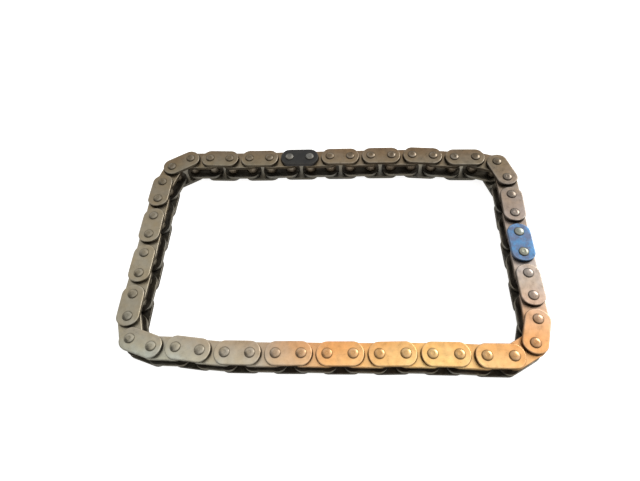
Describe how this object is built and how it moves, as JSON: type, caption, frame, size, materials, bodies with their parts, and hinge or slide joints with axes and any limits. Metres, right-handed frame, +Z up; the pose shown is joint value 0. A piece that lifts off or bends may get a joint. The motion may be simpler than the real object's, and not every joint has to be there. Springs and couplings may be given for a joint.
{
  "type": "timing chain",
  "caption": "Closed loop of single-row bush timing chain with riveted outer links, pressed inner links, and a dark and a blue timing mark.",
  "frame": {"origin": "on the plane that the lower pin heads stand on, in the middle of the loop", "axes": "+X along the long sides of the loop, +Y across it, +Z up along the pins"},
  "size_m": [0.166, 0.104, 0.013],
  "materials": {
    "outer_link_steel": "oiled steel with a brownish film and bright worn edges",
    "inner_link_steel": "oiled steel, darker than the outer plates",
    "pin_steel": "bright riveted pin",
    "dark_plate": "blackened plate, satin",
    "blue_plate": "thin blue finish over steel, worn"
  },
  "bodies": {
    "link_01": {"outer_link_01": "outer_link_steel"},
    "link_02": {"inner_link_01": "inner_link_steel"},
    "link_03": {"outer_link_02": "outer_link_steel"},
    "link_04": {"inner_link_02": "inner_link_steel"},
    "link_05": {"outer_link_03": "outer_link_steel"},
    "link_06": {"inner_link_03": "inner_link_steel"},
    "link_07": {"dark_link_upper_plate": "dark_plate", "dark_link_lower_plate": "outer_link_steel", "dark_link_near_pin": "pin_steel", "dark_link_far_pin": "pin_steel"},
    "link_08": {"inner_link_04": "inner_link_steel"},
    "link_09": {"outer_link_05": "outer_link_steel"},
    "link_10": {"inner_link_05": "inner_link_steel"},
    "link_11": {"outer_link_06": "outer_link_steel"},
    "link_12": {"inner_link_06": "inner_link_steel"},
    "link_13": {"outer_link_07": "outer_link_steel"},
    "link_14": {"inner_link_07": "inner_link_steel"},
    "link_15": {"outer_link_08": "outer_link_steel"},
    "link_16": {"inner_link_08": "inner_link_steel"},
    "link_17": {"outer_link_09": "outer_link_steel"},
    "link_18": {"inner_link_09": "inner_link_steel"},
    "link_19": {"outer_link_10": "outer_link_steel"},
    "link_20": {"inner_link_10": "inner_link_steel"},
    "link_21": {"blue_link_upper_plate": "blue_plate", "blue_link_lower_plate": "outer_link_steel", "blue_link_near_pin": "pin_steel", "blue_link_far_pin": "pin_steel"},
    "link_22": {"inner_link_11_upper_plate": "inner_link_steel", "inner_link_11_lower_plate": "inner_link_steel", "inner_link_11_near_bush": "inner_link_steel", "inner_link_11_far_bush": "inner_link_steel"},
    "link_23": {"outer_link_12": "outer_link_steel"},
    "link_24": {"inner_link_12": "inner_link_steel"},
    "link_25": {"outer_link_13": "outer_link_steel"},
    "link_26": {"inner_link_13": "inner_link_steel"},
    "link_27": {"outer_link_14": "outer_link_steel"},
    "link_28": {"inner_link_14": "inner_link_steel"},
    "link_29": {"outer_link_15": "outer_link_steel"},
    "link_30": {"inner_link_15": "inner_link_steel"},
    "link_31": {"outer_link_16": "outer_link_steel"},
    "link_32": {"inner_link_16": "inner_link_steel"},
    "link_33": {"outer_link_17": "outer_link_steel"},
    "link_34": {"inner_link_17": "inner_link_steel"},
    "link_35": {"outer_link_18": "outer_link_steel"},
    "link_36": {"inner_link_18": "inner_link_steel"},
    "link_37": {"outer_link_19": "outer_link_steel"},
    "link_38": {"inner_link_19": "inner_link_steel"},
    "link_39": {"outer_link_20": "outer_link_steel"},
    "link_40": {"inner_link_20": "inner_link_steel"},
    "link_41": {"outer_link_21": "outer_link_steel"},
    "link_42": {"inner_link_21": "inner_link_steel"},
    "link_43": {"outer_link_22": "outer_link_steel"},
    "link_44": {"inner_link_22": "inner_link_steel"},
    "link_45": {"outer_link_23": "outer_link_steel"},
    "link_46": {"inner_link_23": "inner_link_steel"},
    "link_47": {"outer_link_24": "outer_link_steel"},
    "link_48": {"inner_link_24": "inner_link_steel"},
    "link_49": {"outer_link_25": "outer_link_steel"},
    "link_50": {"inner_link_25": "inner_link_steel"}
  },
  "joints": [
    {"name": "pivot_40", "type": "hinge", "parent": "link_39", "child": "link_40", "pos_m": [-0.05634, -0.04576, 0.0065], "axis": [0, 0, -1], "range_deg": [-15, 15]},
    {"name": "pivot_41", "type": "hinge", "parent": "link_40", "child": "link_41", "pos_m": [-0.06586, -0.04559, 0.0065], "axis": [0, 0, -1], "range_deg": [-25, 25]},
    {"name": "pivot_42", "type": "hinge", "parent": "link_41", "child": "link_42", "pos_m": [-0.07492, -0.04265, 0.0065], "axis": [0, 0, -1], "range_deg": [-45, 25]},
    {"name": "pivot_43", "type": "hinge", "parent": "link_42", "child": "link_43", "pos_m": [-0.07802, -0.03364, 0.0065], "axis": [0, 0, -1], "range_deg": [-25, 25]},
    {"name": "pivot_44", "type": "hinge", "parent": "link_43", "child": "link_44", "pos_m": [-0.07819, -0.02412, 0.0065], "axis": [0, 0, -1], "range_deg": [-30, 30]},
    {"name": "pivot_45", "type": "hinge", "parent": "link_44", "child": "link_45", "pos_m": [-0.07802, -0.0146, 0.0065], "axis": [0, 0, -1], "range_deg": [-30, 30]},
    {"name": "pivot_46", "type": "hinge", "parent": "link_45", "child": "link_46", "pos_m": [-0.07802, -0.00507, 0.0065], "axis": [0, 0, -1], "range_deg": [-25, 25]},
    {"name": "pivot_47", "type": "hinge", "parent": "link_46", "child": "link_47", "pos_m": [-0.07819, 0.00445, 0.0065], "axis": [0, 0, -1], "range_deg": [-25, 25]},
    {"name": "pivot_48", "type": "hinge", "parent": "link_47", "child": "link_48", "pos_m": [-0.07819, 0.01398, 0.0065], "axis": [0, 0, -1], "range_deg": [-30, 30]},
    {"name": "pivot_49", "type": "hinge", "parent": "link_48", "child": "link_49", "pos_m": [-0.07835, 0.0235, 0.0065], "axis": [0, 0, -1], "range_deg": [-30, 30]},
    {"name": "pivot_50", "type": "hinge", "parent": "link_49", "child": "link_50", "pos_m": [-0.07819, 0.03302, 0.0065], "axis": [0, 0, -1], "range_deg": [-25, 25]},
    {"name": "pivot_01", "type": "hinge", "parent": "link_50", "child": "link_01", "pos_m": [-0.07556, 0.04218, 0.0065], "axis": [0, 0, -1], "range_deg": [-45, 25]},
    {"name": "pivot_02", "type": "hinge", "parent": "link_01", "child": "link_02", "pos_m": [-0.0674, 0.04709, 0.0065], "axis": [0, 0, -1], "range_deg": [-40, 25]},
    {"name": "pivot_03", "type": "hinge", "parent": "link_02", "child": "link_03", "pos_m": [-0.05787, 0.04709, 0.0065], "axis": [0, 0, -1], "range_deg": [-15, 15]},
    {"name": "pivot_04", "type": "hinge", "parent": "link_03", "child": "link_04", "pos_m": [-0.04835, 0.04675, 0.0065], "axis": [0, 0, -1], "range_deg": [-30, 30]},
    {"name": "pivot_05", "type": "hinge", "parent": "link_04", "child": "link_05", "pos_m": [-0.03883, 0.04675, 0.0065], "axis": [0, 0, 1], "range_deg": [-40, 25]},
    {"name": "pivot_06", "type": "hinge", "parent": "link_05", "child": "link_06", "pos_m": [-0.0293, 0.04675, 0.0065], "axis": [0, 0, 1], "range_deg": [-30, 30]},
    {"name": "pivot_07", "type": "hinge", "parent": "link_06", "child": "link_07", "pos_m": [-0.01978, 0.04709, 0.0065], "axis": [0, 0, -1], "range_deg": [-30, 30]},
    {"name": "pivot_08", "type": "hinge", "parent": "link_07", "child": "link_08", "pos_m": [-0.01026, 0.04709, 0.0065], "axis": [0, 0, 1], "range_deg": [-45, 25]},
    {"name": "pivot_09", "type": "hinge", "parent": "link_08", "child": "link_09", "pos_m": [-0.00073, 0.04725, 0.0065], "axis": [0, 0, -1], "range_deg": [-30, 30]},
    {"name": "pivot_10", "type": "hinge", "parent": "link_09", "child": "link_10", "pos_m": [0.00879, 0.04725, 0.0065], "axis": [0, 0, -1], "range_deg": [-25, 45]},
    {"name": "pivot_11", "type": "hinge", "parent": "link_10", "child": "link_11", "pos_m": [0.01831, 0.04742, 0.0065], "axis": [0, 0, 1], "range_deg": [-30, 30]},
    {"name": "pivot_12", "type": "hinge", "parent": "link_11", "child": "link_12", "pos_m": [0.02784, 0.04742, 0.0065], "axis": [0, 0, -1], "range_deg": [-30, 30]},
    {"name": "pivot_13", "type": "hinge", "parent": "link_12", "child": "link_13", "pos_m": [0.03736, 0.04742, 0.0065], "axis": [0, 0, 1], "range_deg": [-25, 25]},
    {"name": "pivot_39", "type": "hinge", "parent": "link_39", "child": "link_38", "pos_m": [-0.04686, -0.04675, 0.0065], "axis": [0, 0, 1], "range_deg": [-30, 30]},
    {"name": "pivot_38", "type": "hinge", "parent": "link_38", "child": "link_37", "pos_m": [-0.03736, -0.04742, 0.0065], "axis": [0, 0, 1], "range_deg": [-25, 25]},
    {"name": "pivot_37", "type": "hinge", "parent": "link_37", "child": "link_36", "pos_m": [-0.02784, -0.04742, 0.0065], "axis": [0, 0, 1], "range_deg": [-30, 30]},
    {"name": "pivot_36", "type": "hinge", "parent": "link_36", "child": "link_35", "pos_m": [-0.01831, -0.04742, 0.0065], "axis": [0, 0, 1], "range_deg": [-30, 30]},
    {"name": "pivot_35", "type": "hinge", "parent": "link_35", "child": "link_34", "pos_m": [-0.00879, -0.04725, 0.0065], "axis": [0, 0, 1], "range_deg": [-25, 45]},
    {"name": "pivot_34", "type": "hinge", "parent": "link_34", "child": "link_33", "pos_m": [0.00073, -0.04725, 0.0065], "axis": [0, 0, 1], "range_deg": [-30, 30]},
    {"name": "pivot_33", "type": "hinge", "parent": "link_33", "child": "link_32", "pos_m": [0.01026, -0.04709, 0.0065], "axis": [0, 0, 1], "range_deg": [-25, 45]},
    {"name": "pivot_32", "type": "hinge", "parent": "link_32", "child": "link_31", "pos_m": [0.01978, -0.04709, 0.0065], "axis": [0, 0, 1], "range_deg": [-30, 30]},
    {"name": "pivot_31", "type": "hinge", "parent": "link_31", "child": "link_30", "pos_m": [0.0293, -0.04675, 0.0065], "axis": [0, 0, 1], "range_deg": [-30, 30]},
    {"name": "pivot_30", "type": "hinge", "parent": "link_30", "child": "link_29", "pos_m": [0.03883, -0.04675, 0.0065], "axis": [0, 0, 1], "range_deg": [-25, 40]},
    {"name": "pivot_29", "type": "hinge", "parent": "link_29", "child": "link_28", "pos_m": [0.04835, -0.04675, 0.0065], "axis": [0, 0, 1], "range_deg": [-30, 30]},
    {"name": "pivot_28", "type": "hinge", "parent": "link_28", "child": "link_27", "pos_m": [0.05787, -0.04709, 0.0065], "axis": [0, 0, 1], "range_deg": [-15, 15]},
    {"name": "pivot_27", "type": "hinge", "parent": "link_27", "child": "link_26", "pos_m": [0.0674, -0.04709, 0.0065], "axis": [0, 0, 1], "range_deg": [-40, 25]},
    {"name": "pivot_26", "type": "hinge", "parent": "link_26", "child": "link_25", "pos_m": [0.07556, -0.04218, 0.0065], "axis": [0, 0, 1], "range_deg": [-45, 25]},
    {"name": "pivot_25", "type": "hinge", "parent": "link_25", "child": "link_24", "pos_m": [0.07819, -0.03302, 0.0065], "axis": [0, 0, 1], "range_deg": [-25, 25]},
    {"name": "pivot_24", "type": "hinge", "parent": "link_24", "child": "link_23", "pos_m": [0.07835, -0.0235, 0.0065], "axis": [0, 0, 1], "range_deg": [-30, 30]},
    {"name": "pivot_23", "type": "hinge", "parent": "link_23", "child": "link_22", "pos_m": [0.07819, -0.01398, 0.0065], "axis": [0, 0, 1], "range_deg": [-30, 30]},
    {"name": "pivot_22", "type": "hinge", "parent": "link_22", "child": "link_21", "pos_m": [0.07819, -0.00445, 0.0065], "axis": [0, 0, -1], "range_deg": [-25, 25]},
    {"name": "pivot_21", "type": "hinge", "parent": "link_21", "child": "link_20", "pos_m": [0.07802, 0.00507, 0.0065], "axis": [0, 0, 1], "range_deg": [-25, 25]},
    {"name": "pivot_20", "type": "hinge", "parent": "link_20", "child": "link_19", "pos_m": [0.07802, 0.0146, 0.0065], "axis": [0, 0, 1], "range_deg": [-30, 30]},
    {"name": "pivot_19", "type": "hinge", "parent": "link_19", "child": "link_18", "pos_m": [0.07819, 0.02412, 0.0065], "axis": [0, 0, 1], "range_deg": [-30, 30]},
    {"name": "pivot_18", "type": "hinge", "parent": "link_18", "child": "link_17", "pos_m": [0.07802, 0.03364, 0.0065], "axis": [0, 0, 1], "range_deg": [-25, 25]},
    {"name": "pivot_17", "type": "hinge", "parent": "link_17", "child": "link_16", "pos_m": [0.07492, 0.04265, 0.0065], "axis": [0, 0, 1], "range_deg": [-45, 25]},
    {"name": "pivot_16", "type": "hinge", "parent": "link_16", "child": "link_15", "pos_m": [0.06586, 0.04559, 0.0065], "axis": [0, 0, 1], "range_deg": [-25, 25]},
    {"name": "pivot_15", "type": "hinge", "parent": "link_15", "child": "link_14", "pos_m": [0.05634, 0.04576, 0.0065], "axis": [0, 0, 1], "range_deg": [-15, 15]}
  ],
  "couplings": [
    {"joint": "pivot_01", "follows": "pivot_08", "ratio": 1},
    {"joint": "pivot_26", "follows": "pivot_08", "ratio": 1},
    {"joint": "pivot_33", "follows": "pivot_08", "ratio": -1},
    {"joint": "pivot_02", "follows": "pivot_05", "ratio": 1},
    {"joint": "pivot_27", "follows": "pivot_05", "ratio": 1},
    {"joint": "pivot_30", "follows": "pivot_05", "ratio": -1},
    {"joint": "pivot_25", "follows": "pivot_22", "ratio": 1},
    {"joint": "pivot_50", "follows": "pivot_22", "ratio": 1},
    {"joint": "pivot_47", "follows": "pivot_22", "ratio": -1},
    {"joint": "pivot_16", "follows": "pivot_13", "ratio": 1},
    {"joint": "pivot_41", "follows": "pivot_13", "ratio": 1},
    {"joint": "pivot_38", "follows": "pivot_13", "ratio": -1},
    {"joint": "pivot_42", "follows": "pivot_17", "ratio": 1},
    {"joint": "pivot_10", "follows": "pivot_17", "ratio": -1},
    {"joint": "pivot_35", "follows": "pivot_17", "ratio": -1},
    {"joint": "pivot_43", "follows": "pivot_18", "ratio": 1},
    {"joint": "pivot_21", "follows": "pivot_18", "ratio": -1},
    {"joint": "pivot_46", "follows": "pivot_18", "ratio": -1},
    {"joint": "pivot_34", "follows": "pivot_09", "ratio": 1},
    {"joint": "pivot_03", "follows": "pivot_09", "ratio": -0.5},
    {"joint": "pivot_28", "follows": "pivot_09", "ratio": -0.5},
    {"joint": "pivot_15", "follows": "pivot_09", "ratio": -0.5},
    {"joint": "pivot_40", "follows": "pivot_09", "ratio": -0.5},
    {"joint": "pivot_04", "follows": "pivot_06", "ratio": 1},
    {"joint": "pivot_29", "follows": "pivot_06", "ratio": 1},
    {"joint": "pivot_31", "follows": "pivot_06", "ratio": -1},
    {"joint": "pivot_07", "follows": "pivot_11", "ratio": 1},
    {"joint": "pivot_32", "follows": "pivot_11", "ratio": 1},
    {"joint": "pivot_36", "follows": "pivot_11", "ratio": -1},
    {"joint": "pivot_37", "follows": "pivot_12", "ratio": 1},
    {"joint": "pivot_39", "follows": "pivot_12", "ratio": -1},
    {"joint": "pivot_44", "follows": "pivot_19", "ratio": 1},
    {"joint": "pivot_23", "follows": "pivot_19", "ratio": -1},
    {"joint": "pivot_48", "follows": "pivot_19", "ratio": -1},
    {"joint": "pivot_45", "follows": "pivot_20", "ratio": 1},
    {"joint": "pivot_24", "follows": "pivot_20", "ratio": -1},
    {"joint": "pivot_49", "follows": "pivot_20", "ratio": -1}
  ]
}
